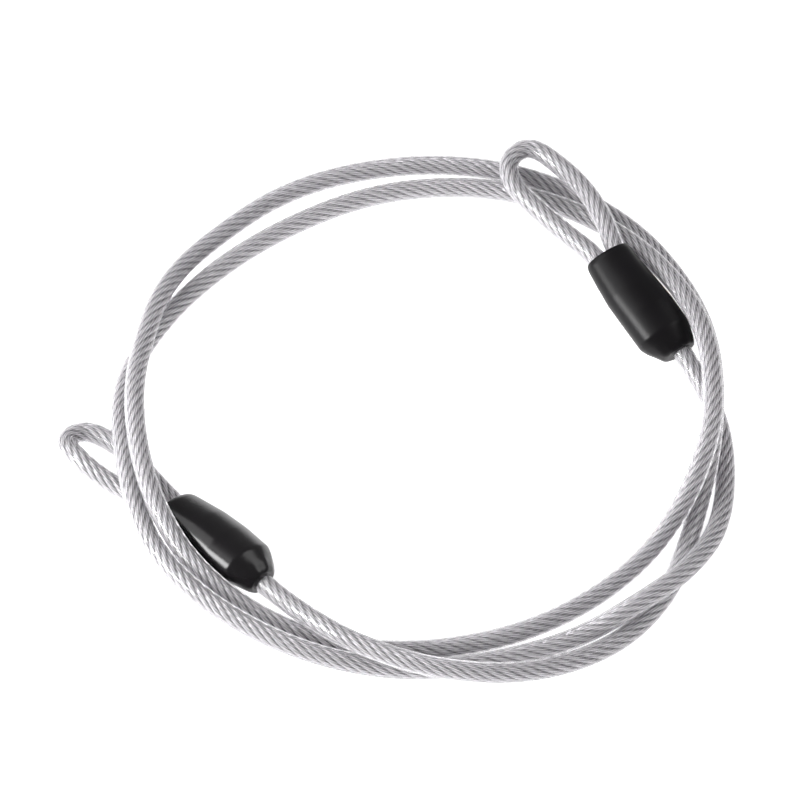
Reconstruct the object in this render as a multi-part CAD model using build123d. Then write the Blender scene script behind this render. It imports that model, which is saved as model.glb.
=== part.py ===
from build123d import *

import math
import os

# Double-loop security cable: a vinyl-jacketed steel wire rope, folded back into an eye at
# each end. Each fold is held by a crimped oval ferrule inside a moulded vinyl sleeve.
# Millimetres, +Z up, lying in its stored coil on the plane z = 0, centred over the origin.

# Cable
jacket_dia = 4.8
rope_dia = 3.2
core_dia = 1.07
fit_gap = 0.03
leg_spacing = 4.9

# Ferrules
ferrule_length = 15.0
ferrule_wide = 9.3
ferrule_thick = 5.2
mouth_to_ferrule = 5.5
crimp_count = 3
crimp_width = 2.8
crimp_depth = 0.25
dead_end_stub = 2.0

# Sleeves: the hole for the cable opens out a little at the tail
tail_flare = 0.5
tail_flare_depth = 4.0

# Cable route
corner_share = 0.45
mouth_lead_a = 1.5
mouth_lead_b = 1.0
tail_lead_a = 34.5
tail_lead_b = 33.5

# Where the main leg crosses each sleeve's mouth, and how the two legs lie there
mouth_a = (52.7, 42.1, 9.2)
mouth_b = (-51.9, -25.1, 4.1)
heading_a, rise_a, roll_a = 120.7, 9.2, 8.0
heading_b, rise_b, roll_b = 133.4, -1.9, -28.0

# Outline of each sleeve, mouth to tail: distance into the sleeve, half width, half thickness,
# and how far the outline's centre lies toward the main leg and above the legs
sleeve_a_outline = [
    (0.0, 5.5, 3.8, -0.1, 0.0),
    (1.0, 5.8, 4.1, -0.1, 0.0),
    (5.0, 6.2, 4.5, -0.1, 0.1),
    (11.0, 6.7, 5.0, 0.1, 0.3),
    (17.5, 6.9, 5.3, 0.6, 0.5),
    (23.5, 6.8, 5.3, 0.9, 0.6),
    (26.3, 6.0, 4.9, 1.2, 0.4),
    (28.5, 4.7, 4.2, 1.8, 0.1),
    (30.0, 3.3, 3.1, 2.4, 0.0),
]
sleeve_b_outline = [
    (1.6, 6.2, 3.7, 0.7, 0.3),
    (2.4, 6.5, 4.0, 0.8, 0.4),
    (5.0, 6.8, 4.3, 1.1, 0.5),
    (11.0, 7.2, 4.9, 1.7, 0.9),
    (17.5, 7.6, 5.2, 2.0, 1.1),
    (23.5, 7.2, 5.2, 2.3, 1.1),
    (26.3, 6.5, 4.9, 2.4, 1.1),
    (28.7, 4.9, 4.2, 2.4, 0.8),
    (30.6, 3.3, 3.1, 2.4, 0.2),
]

# The coil, from the tail of sleeve A round to the tail of sleeve B
coil_points = [
    (74.3, 4.8, 2.4), (77.6, -9.2, 2.4), (76.3, -29.4, 2.4), (68.2, -44.9, 8.1), (54.8, -55.7, 9.0),
    (40.4, -61.4, 2.5), (19.5, -67.6, 2.4), (-1.0, -69.4, 2.8), (-23.0, -65.6, 5.8),
    (-42.3, -55.8, 8.9), (-55.3, -42.9, 10.0), (-61.4, -27.4, 9.0), (-64.4, -11.2, 8.8),
    (-65.4, 3.9, 6.1), (-60.2, 20.4, 2.4), (-49.1, 36.0, 2.4), (-31.0, 51.4, 2.4), (-7.2, 63.3, 2.4),
    (15.6, 65.9, 2.4), (34.1, 62.4, 2.7), (51.6, 52.2, 4.9), (64.9, 36.7, 8.7), (73.1, 18.0, 13.1),
    (74.6, 0.1, 13.6), (73.3, -12.9, 12.8), (66.8, -28.1, 6.7), (54.6, -43.4, 2.4), (33.3, -57.9, 2.4),
    (8.5, -64.2, 2.4), (-14.2, -62.9, 2.4), (-33.9, -55.2, 5.1), (-48.0, -44.1, 9.5),
    (-55.9, -30.7, 12.3), (-60.5, -15.3, 12.9), (-61.9, 1.3, 12.9), (-60.2, 16.7, 8.5),
    (-56.4, 32.0, 7.5), (-47.1, 48.0, 2.4), (-25.8, 65.7, 2.4), (3.7, 72.9, 2.4), (31.7, 69.7, 2.4),
    (55.9, 55.2, 2.4), (69.4, 35.1, 4.5), (75.1, 14.7, 8.3), (74.7, -8.3, 7.6), (70.6, -25.9, 2.4),
    (63.8, -48.1, 2.4), (50.5, -63.0, 2.6), (29.9, -72.6, 6.7), (7.0, -72.2, 9.4), (-10.0, -65.6, 9.6),
    (-20.2, -58.2, 8.2),
]

# The eyes, from the main leg round the fold to the dead leg
eye_a_points = [
    (50.2, 49.6, 10.4), (46.2, 58.6, 9.8), (40.4, 66.6, 8.8), (32.4, 73.4, 8.2), (26.6, 69.4, 8.0),
    (27.8, 62.2, 7.9), (33.6, 55.4, 7.9), (40.6, 48.0, 8.1),
]
eye_b_points = [
    (-57.2, -18.0, 2.6), (-62.6, -11.2, 2.4), (-68.0, -6.6, 2.4), (-73.2, -4.2, 2.4),
    (-77.0, -5.8, 2.9), (-78.0, -9.6, 4.5), (-74.2, -14.6, 6.2), (-68.8, -18.6, 4.3),
    (-63.4, -21.6, 3.6), (-59.4, -24.4, 4.4),
]


def leg_plane(main_leg_mouth, heading, rise, roll):
    """Plane on a sleeve's mouth, between the legs: x toward the dead leg, z out of the mouth."""
    h = math.radians(heading)
    e = math.radians(rise)
    axis = Vector(math.cos(h) * math.cos(e), math.sin(h) * math.cos(e), math.sin(e))
    level_side = Vector(-math.sin(h), math.cos(h), 0)
    side = level_side.rotate(Axis((0, 0, 0), axis), -roll)
    return Plane(origin=Vector(*main_leg_mouth) + side * (leg_spacing / 2), x_dir=side, z_dir=axis)


def on_leg(legs, side, out):
    """Point on a leg's centre line: side is -1 on the main leg, out is distance out of the mouth."""
    return legs.from_local_coords((side * leg_spacing / 2, 0, out))


def cross_plane(legs, out, aside=0.0, up=0.0):
    """Plane across the legs, a distance out of the mouth."""
    origin = legs.from_local_coords((aside, up, out))
    return Plane(origin=origin, x_dir=legs.x_dir, z_dir=legs.z_dir)


def smooth_path(points, label):
    """Straight runs joined by tangent arcs, each as large as its two runs allow."""
    points = [Vector(*p) if isinstance(p, tuple) else p for p in points]
    radii = []
    for before, here, after in zip(points, points[1:], points[2:]):
        run = min((here - before).length, (after - here).length)
        turn = math.radians((here - before).get_angle(after - here))
        radii.append(corner_share * run / math.tan(turn / 2))
    print(label, "radii", [round(r, 1) for r in radii])
    return FilletPolyline(*points, radius=radii)


def round_section(outer_dia, inner_dia):
    """Disc, or ring where there is an inner diameter."""
    section = Circle(outer_dia / 2)
    if inner_dia:
        section -= Circle(inner_dia / 2)
    return section


def swept(path, outer_dia, inner_dia=0.0):
    """Round bar or tube along a path."""
    return sweep(Plane(origin=path @ 0, z_dir=path % 0) * round_section(outer_dia, inner_dia), path=path)


def leg_bar(legs, side, start, end, outer_dia, inner_dia=0.0):
    """Straight round bar or tube along a leg, between two distances out of the mouth."""
    place = cross_plane(legs, start, aside=side * leg_spacing / 2)
    return extrude(place * round_section(outer_dia, inner_dia), end - start)


def slot_bar(legs, start, end, wide, thick):
    """Straight bar of slot section round both legs, between two distances out of the mouth."""
    return extrude(cross_plane(legs, start) * SlotOverall(wide, thick), end - start)


def make_ferrule(legs):
    """Oval aluminium ferrule with one bore for each leg and shallow crimp marks."""
    body = slot_bar(legs, ferrule_tail, -mouth_to_ferrule, ferrule_wide, ferrule_thick)
    pitch = ferrule_length / crimp_count
    for i in range(crimp_count):
        start = ferrule_tail + (i + 0.5) * pitch - crimp_width / 2
        end = start + crimp_width
        band = slot_bar(legs, start, end, ferrule_wide, ferrule_thick)
        kept = slot_bar(legs, start, end, ferrule_wide - 2 * crimp_depth, ferrule_thick - 2 * crimp_depth)
        body -= band - kept
    for side in (-1, 1):
        body -= leg_bar(legs, side, ferrule_tail, -mouth_to_ferrule, bore_dia)
    return body


def make_sleeve(legs, outline, eye_path):
    """Tapered vinyl sleeve, closed on the ferrule and the cable, narrowing to the coil's cable."""
    rings = []
    for depth, half_wide, half_thick, toward_main, above in outline:
        rings.append(cross_plane(legs, -depth, -toward_main, above) * Ellipse(half_wide, half_thick))
    body = loft(rings)
    length = outline[-1][0]
    clear = 2 * fit_gap
    mouth_room = leg_spacing + jacket_dia + clear
    body -= slot_bar(legs, -mouth_to_ferrule, 0, mouth_room, jacket_dia + clear)
    body -= slot_bar(legs, ferrule_tail, -mouth_to_ferrule, ferrule_wide + clear, ferrule_thick + clear)
    body -= leg_bar(legs, 1, ferrule_tail - dead_end_stub - fit_gap, ferrule_tail, rope_dia + clear)
    body -= leg_bar(legs, -1, -length, ferrule_tail, jacket_dia + clear)
    body -= leg_bar(legs, -1, -length, tail_flare_depth - length, jacket_dia + tail_flare)
    body -= swept(eye_path, jacket_dia + clear)
    return body


def make_rope(outer_dia, inner_dia=0.0):
    """One piece of the rope: round both eyes, round the coil and straight through the ferrules."""
    rope = swept(coil_path, outer_dia, inner_dia)
    for legs, eye in ((legs_a, eye_path_a), (legs_b, eye_path_b)):
        rope += swept(eye, outer_dia, inner_dia)
        rope += leg_bar(legs, -1, ferrule_tail, -mouth_to_ferrule, outer_dia, inner_dia)
        rope += leg_bar(legs, 1, ferrule_tail - dead_end_stub, -mouth_to_ferrule, outer_dia, inner_dia)
    return rope


def eye_route(legs, lead, points):
    """Points of an eye, from the ferrule's mouth face out of the sleeve, round and back."""
    start = [on_leg(legs, -1, -mouth_to_ferrule), on_leg(legs, -1, lead)]
    end = [on_leg(legs, 1, lead), on_leg(legs, 1, -mouth_to_ferrule)]
    return start + points + end


def check_volume(label, shape, outer_dia, inner_dia, length):
    """Print a tube's volume beside its section times its length."""
    expected = math.pi / 4 * (outer_dia**2 - inner_dia**2) * length
    print(label, "volume", round(shape.volume, 1), "section x length", round(expected, 1))


bore_dia = rope_dia + 2 * fit_gap
ferrule_tail = -mouth_to_ferrule - ferrule_length
legs_a = leg_plane(mouth_a, heading_a, rise_a, roll_a)
legs_b = leg_plane(mouth_b, heading_b, rise_b, roll_b)

coil_start = [on_leg(legs_a, -1, ferrule_tail), on_leg(legs_a, -1, -tail_lead_a)]
coil_end = [on_leg(legs_b, -1, -tail_lead_b), on_leg(legs_b, -1, ferrule_tail)]
coil_path = smooth_path(coil_start + coil_points + coil_end, "coil")
eye_path_a = smooth_path(eye_route(legs_a, mouth_lead_a, eye_a_points), "eye a")
eye_path_b = smooth_path(eye_route(legs_b, mouth_lead_b, eye_b_points), "eye b")

parts = {
    "rope_core_strand": make_rope(core_dia),
    "rope_outer_strands": make_rope(rope_dia, core_dia + 2 * fit_gap),
    "jacket_coil": swept(coil_path, jacket_dia, bore_dia),
    "jacket_eye_a": swept(eye_path_a, jacket_dia, bore_dia),
    "jacket_eye_b": swept(eye_path_b, jacket_dia, bore_dia),
    "ferrule_a": make_ferrule(legs_a),
    "ferrule_b": make_ferrule(legs_b),
    "sleeve_a": make_sleeve(legs_a, sleeve_a_outline, eye_path_a),
    "sleeve_b": make_sleeve(legs_b, sleeve_b_outline, eye_path_b),
}

jacket_lengths = [path.length for path in (coil_path, eye_path_a, eye_path_b)]
rope_length = sum(jacket_lengths) + 4 * ferrule_length + 2 * dead_end_stub
print("jacket lengths", [round(v, 1) for v in jacket_lengths], "rope", round(rope_length, 1))
for name, length in zip(("jacket_coil", "jacket_eye_a", "jacket_eye_b"), jacket_lengths):
    check_volume(name, parts[name], jacket_dia, bore_dia, length)
check_volume("rope_core_strand", parts["rope_core_strand"], core_dia, 0, rope_length)

os.makedirs("parts", exist_ok=True)
for name, shape in parts.items():
    export_step(shape, f"parts/{name}.step")
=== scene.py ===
import math
import bpy
import numpy as np
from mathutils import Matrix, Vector


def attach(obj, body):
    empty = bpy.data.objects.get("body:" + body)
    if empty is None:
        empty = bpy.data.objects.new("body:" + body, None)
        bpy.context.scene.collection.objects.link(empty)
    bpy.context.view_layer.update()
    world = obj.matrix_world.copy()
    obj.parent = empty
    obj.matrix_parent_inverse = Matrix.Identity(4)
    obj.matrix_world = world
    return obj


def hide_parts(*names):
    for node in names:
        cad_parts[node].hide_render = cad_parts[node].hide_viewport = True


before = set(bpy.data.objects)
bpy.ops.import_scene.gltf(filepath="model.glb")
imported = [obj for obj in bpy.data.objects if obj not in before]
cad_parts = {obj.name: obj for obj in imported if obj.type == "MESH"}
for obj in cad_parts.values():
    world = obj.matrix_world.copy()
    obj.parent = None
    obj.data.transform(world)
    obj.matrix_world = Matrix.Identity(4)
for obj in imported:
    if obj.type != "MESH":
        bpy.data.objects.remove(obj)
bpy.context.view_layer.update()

# ---------------------------------------------------------------- sizes, in metres
JACKET_R = 0.0024
JACKET_SIDES = 32

STRANDS = 6
STRAND_R = 0.00053
STRAND_RING_R = 0.00107
STRAND_LAY = 0.0175
WIRES = 6
WIRE_LAY = 0.0088
WIRE_POINTS = 3
# the length of a painted highlight dash on a wire
WIRE_HIGHLIGHT_DASH = 0.0016
# cosines from the rope's outside for the painted shade between strands: full shade where a strand
# starts to be hidden, none where it is in full view
FULL_SHADE_COS, NO_SHADE_COS = -0.15, 0.80
# how far the painted shade scales down the height on a strand's hidden side
FULL_SHADE_HEIGHT = 0.55

SPAN_POINTS = 24
ROPE_STEP = 0.0006

LEG_SPACING = 0.0049
MOUTH_TO_FERRULE = 0.0055
FERRULE_END = 0.0205
DEAD_END = MOUTH_TO_FERRULE + 0.017
EYE_A_START, EYE_B_START = 0.0015, 0.001
TAIL_A, TAIL_B = 0.0345, 0.0335

SLEEVE_ROWS = 140
SLEEVE_SIDES = 72
SLEEVE_SQUARENESS = 2.12
FOLD_START, FOLD_RUN = 0.0262, 0.003
# the tail's creases: share of the width, count round the sleeve, winding per metre
CREASES = [(0.018, 5, 900), (0.012, 11, -500)]
# the rolled lip and the inside of the mouth: how far in from the outline, how far down the sleeve
LIP = [(0.00015, -0.00012), (0.0005, -0.0001), (0.0007, 0.0006), (0.0008, 0.004)]

# ---------------------------------------------------------------- the route, in metres
# as in the CAD source, but for the fold of eye A, which reaches 0.7 mm further out here
# each sleeve's mouth, its way out, and its way across from the dead leg to the main one
LEG_A = {
    "mouth": (0.05059, 0.04091, 0.00886),
    "out": (-0.504, 0.849, 0.160),
    "wide": (0.863, 0.486, 0.137),
}
LEG_B = {
    "mouth": (-0.05350, -0.02656, 0.00525),
    "out": (-0.687, 0.726, -0.033),
    "wide": (0.652, 0.595, -0.469),
}
EYE_A = [
    (0.0502, 0.0496, 0.0104), (0.0462, 0.0586, 0.0098),
    (0.0404, 0.0666, 0.0088), (0.0324, 0.0741, 0.0082),
    (0.0266, 0.0694, 0.0080), (0.0278, 0.0622, 0.0079),
    (0.0336, 0.0554, 0.0079), (0.0406, 0.0480, 0.0081),
]
COIL = [
    (0.0743, 0.0048, 0.0024), (0.0776, -0.0092, 0.0024),
    (0.0763, -0.0294, 0.0024), (0.0682, -0.0449, 0.0081),
    (0.0548, -0.0557, 0.0090), (0.0404, -0.0614, 0.0025),
    (0.0195, -0.0676, 0.0024), (-0.0010, -0.0694, 0.0028),
    (-0.0230, -0.0656, 0.0058), (-0.0423, -0.0558, 0.0089),
    (-0.0553, -0.0429, 0.0100), (-0.0614, -0.0274, 0.0090),
    (-0.0644, -0.0112, 0.0088), (-0.0654, 0.0039, 0.0061),
    (-0.0602, 0.0204, 0.0024), (-0.0491, 0.0360, 0.0024),
    (-0.0310, 0.0514, 0.0024), (-0.0072, 0.0633, 0.0024),
    (0.0156, 0.0659, 0.0024), (0.0341, 0.0624, 0.0027),
    (0.0516, 0.0522, 0.0049), (0.0649, 0.0367, 0.0087),
    (0.0731, 0.0180, 0.0131), (0.0746, 0.0001, 0.0136),
    (0.0733, -0.0129, 0.0128), (0.0668, -0.0281, 0.0067),
    (0.0546, -0.0434, 0.0024), (0.0333, -0.0579, 0.0024),
    (0.0085, -0.0642, 0.0024), (-0.0142, -0.0629, 0.0024),
    (-0.0339, -0.0552, 0.0051), (-0.0480, -0.0441, 0.0095),
    (-0.0559, -0.0307, 0.0123), (-0.0605, -0.0153, 0.0129),
    (-0.0619, 0.0013, 0.0129), (-0.0602, 0.0167, 0.0085),
    (-0.0564, 0.0320, 0.0075), (-0.0471, 0.0480, 0.0024),
    (-0.0258, 0.0657, 0.0024), (0.0037, 0.0729, 0.0024),
    (0.0317, 0.0697, 0.0024), (0.0559, 0.0552, 0.0024),
    (0.0694, 0.0351, 0.0045), (0.0751, 0.0147, 0.0083),
    (0.0747, -0.0083, 0.0076), (0.0706, -0.0259, 0.0024),
    (0.0638, -0.0481, 0.0024), (0.0505, -0.0630, 0.0026),
    (0.0299, -0.0726, 0.0067), (0.0070, -0.0722, 0.0094),
    (-0.0100, -0.0656, 0.0096), (-0.0202, -0.0582, 0.0082),
]
EYE_B = [
    (-0.0572, -0.0180, 0.0026), (-0.0626, -0.0112, 0.0024),
    (-0.0680, -0.0066, 0.0024), (-0.0732, -0.0042, 0.0024),
    (-0.0770, -0.0058, 0.0029), (-0.0780, -0.0096, 0.0045),
    (-0.0742, -0.0146, 0.0062), (-0.0688, -0.0186, 0.0043),
    (-0.0634, -0.0216, 0.0036), (-0.0594, -0.0244, 0.0044),
]
# a sleeve's rows, from its mouth to its tail: depth, half width, half thickness,
# middle towards the main leg, middle above the legs
SLEEVE_A = [
    (0.0, 0.0056, 0.0039, -0.0001, 0.0), (0.001, 0.0059, 0.0042, -0.0001, 0.0),
    (0.005, 0.0062, 0.0045, -0.0001, 0.0001),
    (0.011, 0.0067, 0.0050, 0.0001, 0.0003), (0.0175, 0.0069, 0.0053, 0.0006, 0.0005),
    (0.0246, 0.0068, 0.0053, 0.0009, 0.0006), (0.0262, 0.0062, 0.0049, 0.0011, 0.0004),
    (0.0285, 0.0050, 0.0043, 0.0016, 0.0001), (0.0296, 0.0044, 0.0038, 0.0018, 0.0),
    (0.0300, 0.0038, 0.0034, 0.0020, 0.0), (0.0300, 0.0025, 0.0025, 0.0024, 0.0),
]
SLEEVE_B = [
    (0.0016, 0.0062, 0.0037, 0.0007, 0.0003), (0.0024, 0.0065, 0.0040, 0.0008, 0.0004),
    (0.005, 0.0068, 0.0043, 0.0011, 0.0005),
    (0.011, 0.0072, 0.0049, 0.0017, 0.0009), (0.0175, 0.0076, 0.0052, 0.0020, 0.0011),
    (0.0247, 0.0073, 0.0053, 0.0023, 0.0011), (0.0262, 0.0066, 0.0048, 0.0024, 0.0010),
    (0.0286, 0.0051, 0.0041, 0.0024, 0.0007), (0.0300, 0.0042, 0.0036, 0.0024, 0.0004),
    (0.0306, 0.0035, 0.0032, 0.0024, 0.0002), (0.0306, 0.0025, 0.0025, 0.0024, 0.0002),
]


def leg(side, which, out):
    """A point on a leg of the cable, out metres outside the sleeve's mouth."""
    across = LEG_SPACING / 2 if which == "main" else -LEG_SPACING / 2
    return tuple(Vector(side["mouth"]) + Vector(side["out"]) * out + Vector(side["wide"]) * across)


# ---------------------------------------------------------------- lines and skins
def spline_line(points):
    """Points read from a smooth spline whose control points are the route's."""
    curve = bpy.data.curves.new("route", "CURVE")
    curve.dimensions = "3D"
    curve.resolution_u = SPAN_POINTS
    spline = curve.splines.new("NURBS")
    spline.points.add(len(points) - 1)
    for point, place in zip(spline.points, points):
        point.co = (*place, 1.0)
    spline.order_u = 3
    spline.use_endpoint_u = True
    holder = bpy.data.objects.new("route", curve)
    mesh = bpy.data.meshes.new_from_object(holder)
    line = np.array([v.co for v in mesh.vertices], float)
    bpy.data.objects.remove(holder)
    bpy.data.meshes.remove(mesh)
    return line


def distances(line):
    """How far along the line each of its points is."""
    return np.concatenate([[0], np.cumsum(np.linalg.norm(np.diff(line, axis=0), axis=1))])


def evenly(line, step):
    """The line again with points about step apart, and how far along each is."""
    along = distances(line)
    at = np.linspace(0, along[-1], max(2, round(along[-1] / step)))
    return np.stack([np.interp(at, along, line[:, k]) for k in range(3)], axis=1), at


def unit(vectors):
    """The vectors, one per row, at length 1."""
    return vectors / np.linalg.norm(vectors, axis=1)[:, None]


def sides_along(line):
    """Two directions square to the line that don't twist along it."""
    tangent = unit(np.gradient(line, axis=0))
    side = np.zeros_like(line)
    first = np.cross(tangent[0], (0.0, 0.0, 1.0))
    side[0] = first / np.linalg.norm(first)
    for i in range(1, len(line)):
        turned = side[i - 1] - tangent[i] * (side[i - 1] @ tangent[i])
        side[i] = turned / np.linalg.norm(turned)
    return side, np.cross(tangent, side)


def circling(angles, across, over):
    """Directions at the angles from across towards over: one row of them for each point of a line."""
    return np.cos(angles)[..., None] * across[:, None] + np.sin(angles)[..., None] * over[:, None]


def skin(name, tubes):
    """One mesh of capped tubes. The axes of tubes are tube, ring, point and xyz."""
    count, length, around = tubes.shape[:3]
    i, j = np.meshgrid(np.arange(length - 1), np.arange(around), indexing="ij")
    k = (j + 1) % around
    quad = np.stack(
        [i * around + j, i * around + k, (i + 1) * around + k, (i + 1) * around + j], axis=-1
    ).reshape(-1, 4)
    starts = np.arange(count) * length * around
    faces = (quad[None] + starts[:, None, None]).reshape(-1, 4)
    ring = np.arange(around)
    last = (length - 1) * around
    caps = np.concatenate([[start + ring[::-1], start + last + ring] for start in starts])
    loops = np.concatenate([faces.ravel(), caps.ravel()])
    sizes = np.concatenate([np.full(len(faces), 4), np.full(len(caps), around)])
    mesh = bpy.data.meshes.new(name)
    mesh.vertices.add(count * length * around)
    mesh.vertices.foreach_set("co", tubes.reshape(-1).astype(np.float32))
    mesh.loops.add(len(loops))
    mesh.loops.foreach_set("vertex_index", loops.astype(np.int32))
    mesh.polygons.add(len(sizes))
    first_loops = np.concatenate([[0], np.cumsum(sizes)[:-1]])
    mesh.polygons.foreach_set("loop_start", first_loops.astype(np.int32))
    mesh.update(calc_edges=True)
    mesh.shade_smooth()
    piece = bpy.data.objects.new(name, mesh)
    bpy.context.scene.collection.objects.link(piece)
    return piece


def declare(piece, slot, *nodes):
    """Hides the CAD nodes the piece stands for and puts the piece in the root body; the slot is not
    used.
    """
    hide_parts(*nodes)
    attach(piece, "root")


# ---------------------------------------------------------------- the rope's line, dead end to dead end
route = (
    [leg(LEG_A, "dead", out) for out in (-DEAD_END, -MOUTH_TO_FERRULE, EYE_A_START)]
    + EYE_A[::-1]
    + [leg(LEG_A, "main", out) for out in (EYE_A_START, -MOUTH_TO_FERRULE, -FERRULE_END, -TAIL_A)]
    + COIL
    + [leg(LEG_B, "main", out) for out in (-TAIL_B, -FERRULE_END, -MOUTH_TO_FERRULE, EYE_B_START)]
    + EYE_B
    + [leg(LEG_B, "dead", out) for out in (EYE_B_START, -MOUTH_TO_FERRULE, -DEAD_END)]
)
rope_line, rope_at = evenly(spline_line(route), ROPE_STEP)
side, up = sides_along(rope_line)


def nearest(point):
    """Which of the rope's points is nearest."""
    return int(np.linalg.norm(rope_line - np.array(point), axis=1).argmin())


# ---------------------------------------------------------------- strands
def strand_outline():
    """Angles and radii round a strand: a lobe for each wire, with a groove between wires."""
    wire = STRAND_R / 3
    half = math.pi / WIRES
    lobe = np.linspace(-half, half, WIRE_POINTS, endpoint=False)
    reach = 2 * wire * np.cos(lobe)
    reach += np.sqrt(np.maximum(wire**2 - (2 * wire * np.sin(lobe)) ** 2, 0))
    angles = np.concatenate([lobe + 2 * half * k for k in range(WIRES)])
    return angles, np.tile(reach, WIRES)


def strand(which):
    """A strand's rings, and how proud each point stands, scaled down as painted shade on the side
    turned to the rope's inside: 1 on top of a wire on the rope's outside.
    """
    angles, radii = strand_outline()
    turn = 2 * math.pi * (which / STRANDS + rope_at / STRAND_LAY)
    centre = rope_line + STRAND_RING_R * (np.cos(turn)[:, None] * side + np.sin(turn)[:, None] * up)
    around = angles[None, :] + (turn - 2 * math.pi * rope_at / WIRE_LAY)[:, None]
    along = unit(np.gradient(centre, axis=0))
    across = unit(side - along * (side * along).sum(1)[:, None])
    rings = centre[:, None] + radii[None, :, None] * circling(around, across, np.cross(along, across))
    # painted shade: points turned towards the rope's inside get a lower height, so the material colours
    # them darker
    unshaded = np.clip((np.cos(around - turn[:, None]) - FULL_SHADE_COS) / (NO_SHADE_COS - FULL_SHADE_COS), 0, 1)
    height = radii[None, :] / STRAND_R * (FULL_SHADE_HEIGHT + (1 - FULL_SHADE_HEIGHT) * unshaded)
    return rings, height


def twisted_strands():
    """The six strands as one piece, with what its material needs to know at each point."""
    rings, shaded_heights = zip(*(strand(which) for which in range(STRANDS)))
    piece = skin("rope_twisted_strands", np.stack(rings))
    # the height attribute carries the wire grooves and the painted shade between strands
    layer = piece.data.attributes.new("height", "FLOAT", "POINT")
    layer.data.foreach_set("value", np.stack(shaded_heights).astype(np.float32).ravel())
    # where a point is along and round its strand, for the painted highlight dashes on the wires; the
    # shifts give each strand its own dashes
    along, round_strand = np.meshgrid(
        rope_at / WIRE_HIGHLIGHT_DASH, np.arange(WIRES * WIRE_POINTS) / WIRE_POINTS, indexing="ij"
    )
    highlight_dashes = np.stack([
        np.stack([along + 31 * k, 1.7 * round_strand, np.full_like(along, 7.0 * k)], axis=-1)
        for k in range(STRANDS)
    ])
    layer = piece.data.attributes.new("highlight_dash", "FLOAT_VECTOR", "POINT")
    layer.data.foreach_set("vector", highlight_dashes.reshape(-1).astype(np.float32))
    declare(piece, "rope", "rope_outer_strands", "rope_core_strand")
    return piece


strands = twisted_strands()


# ---------------------------------------------------------------- clear jackets, each a cord
def jacket(name, node, start, end):
    """The jacket on the rope's line between two places, one on each leg."""
    stretch = slice(nearest(leg(*start)), nearest(leg(*end)) + 1)
    line = rope_line[stretch]
    around = np.linspace(0, 2 * math.pi, JACKET_SIDES, endpoint=False)
    rings = line[:, None] + JACKET_R * circling(
        np.tile(around, (len(line), 1)), side[stretch], up[stretch]
    )
    piece = skin(name, rings[None])
    declare(piece, "jacket", node)
    return piece


jackets = [
    jacket(
        "clear_jacket_coil", "jacket_coil",
        (LEG_A, "main", -FERRULE_END), (LEG_B, "main", -FERRULE_END),
    ),
    jacket(
        "clear_jacket_eye_a", "jacket_eye_a",
        (LEG_A, "dead", -MOUTH_TO_FERRULE), (LEG_A, "main", -MOUTH_TO_FERRULE),
    ),
    jacket(
        "clear_jacket_eye_b", "jacket_eye_b",
        (LEG_B, "main", -MOUTH_TO_FERRULE), (LEG_B, "dead", -MOUTH_TO_FERRULE),
    ),
]


# ---------------------------------------------------------------- vinyl sleeves
def smooth_rows(outline):
    """The outline's rows filled in evenly along its length and width, with its corners eased."""
    rows = np.array(outline)
    along = distances(rows[:, :3])
    at = np.linspace(0, along[-1], SLEEVE_ROWS)
    shape = np.stack([np.interp(at, along, column) for column in rows.T], axis=1)
    for _ in range(2):
        shape[1:-1] = 0.25 * shape[:-2] + 0.5 * shape[1:-1] + 0.25 * shape[2:]
    return shape


def sleeve(name, node, legs, outline):
    """A moulded sleeve on a pair of legs: a squarish oval tube with a rolled lip and a creased tail."""
    mouth, axis, wide = (np.array(legs[key]) for key in ("mouth", "out", "wide"))
    axis = axis / np.linalg.norm(axis)
    wide = wide - axis * (wide @ axis)
    wide /= np.linalg.norm(wide)
    thick = np.cross(axis, wide)
    thick *= math.copysign(1, thick[2])
    around = np.linspace(0, 2 * math.pi, SLEEVE_SIDES, endpoint=False)
    cos, sin = np.cos(around), np.sin(around)
    power = 2 / SLEEVE_SQUARENESS
    oval_x, oval_y = np.sign(cos) * np.abs(cos) ** power, np.sign(sin) * np.abs(sin) ** power

    def ring(depth, half_wide, half_thick, towards_main, above):
        centre = mouth - axis * depth + wide * towards_main + thick * above
        return centre + np.outer(oval_x * half_wide, wide) + np.outer(oval_y * half_thick, thick)

    rings = []
    for depth, half_wide, half_thick, towards_main, above in smooth_rows(outline):
        fold = np.clip((depth - FOLD_START) / FOLD_RUN, 0, 1)
        crease = 1 + fold * sum(
            share * np.sin(count * around + winding * depth) for share, count, winding in CREASES
        )
        rings.append(ring(depth, half_wide * crease, half_thick * crease, towards_main, above))
    depth, half_wide, half_thick, towards_main, above = outline[0]
    for inward, back in LIP:
        rings.insert(
            0, ring(depth + back, half_wide - inward, half_thick - inward, towards_main, above)
        )
    piece = skin(name, np.array([rings]))
    declare(piece, "sleeve", node)
    return piece


sleeve_a = sleeve("vinyl_sleeve_a", "sleeve_a", LEG_A, SLEEVE_A)
sleeve_b = sleeve("vinyl_sleeve_b", "sleeve_b", LEG_B, SLEEVE_B)


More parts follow.
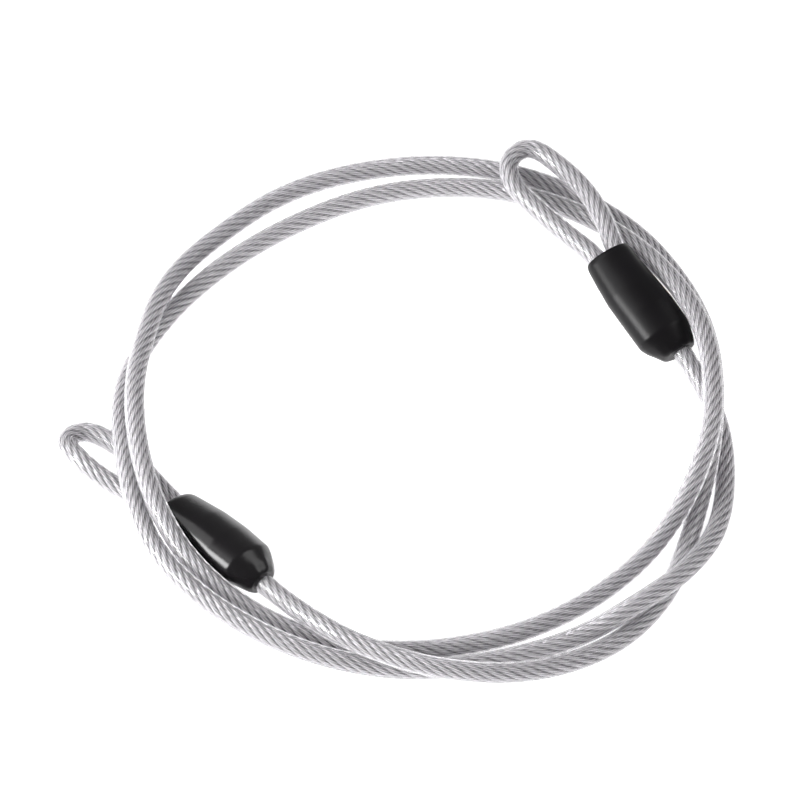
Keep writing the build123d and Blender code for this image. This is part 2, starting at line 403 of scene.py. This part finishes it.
# ---------------------------------------------------------------- materials
class Look:
    """A Principled material, with the few kinds of node used here."""

    def __init__(self, name):
        self.material = bpy.data.materials.new(name)
        self.material.use_nodes = True
        self.nodes = self.material.node_tree.nodes
        self.link = self.material.node_tree.links.new
        self.shader = self.nodes["Principled BSDF"]

    def set(self, **values):
        """Plain values on the shader's sockets, named with _ for a space."""
        for socket, value in values.items():
            self.shader.inputs[socket.replace("_", " ")].default_value = value

    def feed(self, socket, output):
        self.link(output, self.shader.inputs[socket])

    def attribute(self, name):
        node = self.nodes.new("ShaderNodeAttribute")
        node.attribute_name = name
        return node.outputs

    def noise(self, scale, detail, where=None):
        node = self.nodes.new("ShaderNodeTexNoise")
        node.inputs["Scale"].default_value = scale
        node.inputs["Detail"].default_value = detail
        where = where or self.nodes.new("ShaderNodeTexCoord").outputs["Object"]
        self.link(where, node.inputs["Vector"])
        return node.outputs["Fac"]

    def ramp(self, source, low, low_colour, high, high_colour):
        node = self.nodes.new("ShaderNodeValToRGB")
        for element, place, colour in zip(
            node.color_ramp.elements, (low, high), (low_colour, high_colour)
        ):
            element.position = place
            element.color = (*colour, 1.0)
        self.link(source, node.inputs["Fac"])
        return node.outputs["Color"]

    def multiply(self, first, second):
        node = self.nodes.new("ShaderNodeMix")
        node.data_type = "RGBA"
        node.blend_type = "MULTIPLY"
        node.inputs["Factor"].default_value = 1.0
        self.link(first, node.inputs["A"])
        self.link(second, node.inputs["B"])
        return node.outputs["Result"]

    def spread(self, source, low, high):
        node = self.nodes.new("ShaderNodeMapRange")
        node.inputs["To Min"].default_value = low
        node.inputs["To Max"].default_value = high
        self.link(source, node.inputs["Value"])
        return node.outputs["Result"]

    def bump(self, source, strength, distance):
        node = self.nodes.new("ShaderNodeBump")
        node.inputs["Strength"].default_value = strength
        node.inputs["Distance"].default_value = distance
        self.link(source, node.inputs["Height"])
        self.feed("Normal", node.outputs["Normal"])


def put(piece, material):
    piece.data.materials.clear()
    piece.data.materials.append(material)


def galvanised_wire():
    """Zinc-grey wires, with painted shade in the grooves and between strands, and painted highlight
    dashes on top.
    """
    look = Look("galvanised_wire")
    look.set(Metallic=0.7)
    # painted shade: darker in the grooves between wires and on the strands' sides turned inward
    groove = look.ramp(
        look.attribute("height")["Fac"], 0.50, (0.20, 0.195, 0.205), 0.93, (0.85, 0.84, 0.86)
    )
    # painted highlights: short bright dashes along the wires
    highlight_dashes = look.noise(1.0, 2.0, look.attribute("highlight_dash")["Vector"])
    painted_highlights = look.ramp(highlight_dashes, 0.35, (0.70, 0.69, 0.71), 0.65, (1.15, 1.15, 1.15))
    look.feed("Base Color", look.multiply(groove, painted_highlights))
    look.feed("Roughness", look.spread(highlight_dashes, 0.30, 0.50))
    look.bump(look.noise(5200.0, 2.0), 0.15, 0.00003)
    return look.material


def clear_pvc():
    """Slightly milky, slightly wavy clear plastic."""
    look = Look("clear_pvc")
    look.set(Base_Color=(0.88, 0.87, 0.885, 1.0), Transmission_Weight=0.86)
    look.set(IOR=1.40, Specular_IOR_Level=0.32)
    look.feed("Roughness", look.spread(look.noise(160.0, 3.0), 0.11, 0.19))
    look.bump(look.noise(240.0, 2.0), 0.12, 0.0001)
    return look.material


def black_vinyl(name, smoothest, roughest, gloss):
    """Dipped vinyl, near black, with a faintly uneven skin."""
    look = Look(name)
    mottle = look.noise(90.0, 4.0)
    look.feed(
        "Base Color", look.ramp(mottle, 0.3, (0.0022, 0.0018, 0.0024), 0.7, (0.0042, 0.0036, 0.0045))
    )
    look.feed("Roughness", look.spread(mottle, smoothest, roughest))
    look.set(Specular_IOR_Level=gloss)
    look.bump(look.noise(700.0, 3.0), 0.10, 0.0001)
    return look.material


def pressed_aluminium():
    """Bare aluminium, brushed and rubbed by the press."""
    look = Look("pressed_aluminium")
    look.set(Metallic=1.0)
    brushed = look.noise(900.0, 4.0)
    look.feed("Base Color", look.ramp(brushed, 0.3, (0.62, 0.63, 0.64), 0.7, (0.80, 0.81, 0.82)))
    look.feed("Roughness", look.spread(brushed, 0.3, 0.5))
    look.bump(brushed, 0.2, 0.00005)
    return look.material


def white_sweep():
    """Studio paper that glows enough to come out white."""
    look = Look("white_sweep")
    fibre = look.noise(60.0, 3.0)
    look.feed("Base Color", look.ramp(fibre, 0.3, (0.92, 0.92, 0.925), 0.7, (0.94, 0.94, 0.945)))
    look.set(Roughness=0.9, Specular_IOR_Level=0.1)
    look.set(Emission_Color=(1.0, 1.0, 1.0, 1.0), Emission_Strength=0.76)
    return look.material


put(strands, galvanised_wire())
clear = clear_pvc()
for piece in jackets:
    put(piece, clear)
# sleeve A is duller than sleeve B
put(sleeve_a, black_vinyl("black_vinyl_dull", 0.31, 0.42, 0.19))
put(sleeve_b, black_vinyl("black_vinyl_glossy", 0.18, 0.29, 0.38))
alloy = pressed_aluminium()
for node in ("ferrule_a", "ferrule_b"):
    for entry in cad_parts[node].material_slots:
        entry.material = alloy

# ---------------------------------------------------------------- floor, light, camera
FLOOR_REACH = 3
WORLD_COLOUR, WORLD_STRENGTH = (1.0, 0.985, 1.0, 1.0), 0.36
# name, place, width, height, power in watts; each faces the middle of the ring
SOFTBOXES = [
    ("key", (-0.60, -0.22, 0.32), 0.36, 0.30, 7.5),
    ("left", (-0.80, 0.30, 0.90), 1.0, 0.8, 6.0),
    ("fill", (0.80, 0.20, 0.75), 0.7, 0.6, 3.0),
]
CAMERA_TARGET = (0.0008, 0.0057, 0.0)
CAMERA_DISTANCE = 1.2
CAMERA_ELEVATION = 58
CAMERA_LENS, CAMERA_SENSOR = 227.4, 36.0


def studio_floor():
    reach = FLOOR_REACH
    mesh = bpy.data.meshes.new("floor")
    corners = [(-reach, -reach, 0), (reach, -reach, 0), (reach, reach, 0), (-reach, reach, 0)]
    mesh.from_pydata(corners, [], [(0, 1, 2, 3)])
    floor = bpy.data.objects.new("floor", mesh)
    bpy.context.scene.collection.objects.link(floor)
    put(floor, white_sweep())


def face(thing, place, direction):
    """Puts a lamp or camera at the place, looking in the direction."""
    bpy.context.scene.collection.objects.link(thing)
    thing.location = place
    thing.rotation_mode = "QUATERNION"
    thing.rotation_quaternion = direction.to_track_quat("-Z", "Y")


def softbox(name, place, width, height, power):
    data = bpy.data.lights.new(name, "AREA")
    data.shape = "RECTANGLE"
    data.size, data.size_y, data.energy = width, height, power
    face(bpy.data.objects.new(name, data), place, -Vector(place))


def studio_world():
    world = bpy.context.scene.world or bpy.data.worlds.new("studio")
    bpy.context.scene.world = world
    world.use_nodes = True
    background = world.node_tree.nodes["Background"]
    background.inputs["Color"].default_value = WORLD_COLOUR
    background.inputs["Strength"].default_value = WORLD_STRENGTH


def studio_camera():
    elevation = math.radians(CAMERA_ELEVATION)
    away = Vector((0.0, -math.cos(elevation), math.sin(elevation)))
    data = bpy.data.cameras.new("camera")
    data.sensor_width = CAMERA_SENSOR
    data.lens = CAMERA_LENS
    data.clip_start = 0.01
    data.clip_end = 20.0
    camera = bpy.data.objects.new("camera", data)
    face(camera, Vector(CAMERA_TARGET) + away * CAMERA_DISTANCE, -away)
    bpy.context.scene.camera = camera


studio_floor()
studio_world()
for box in SOFTBOXES:
    softbox(*box)
studio_camera()
bpy.context.scene.view_settings.view_transform = "Standard"
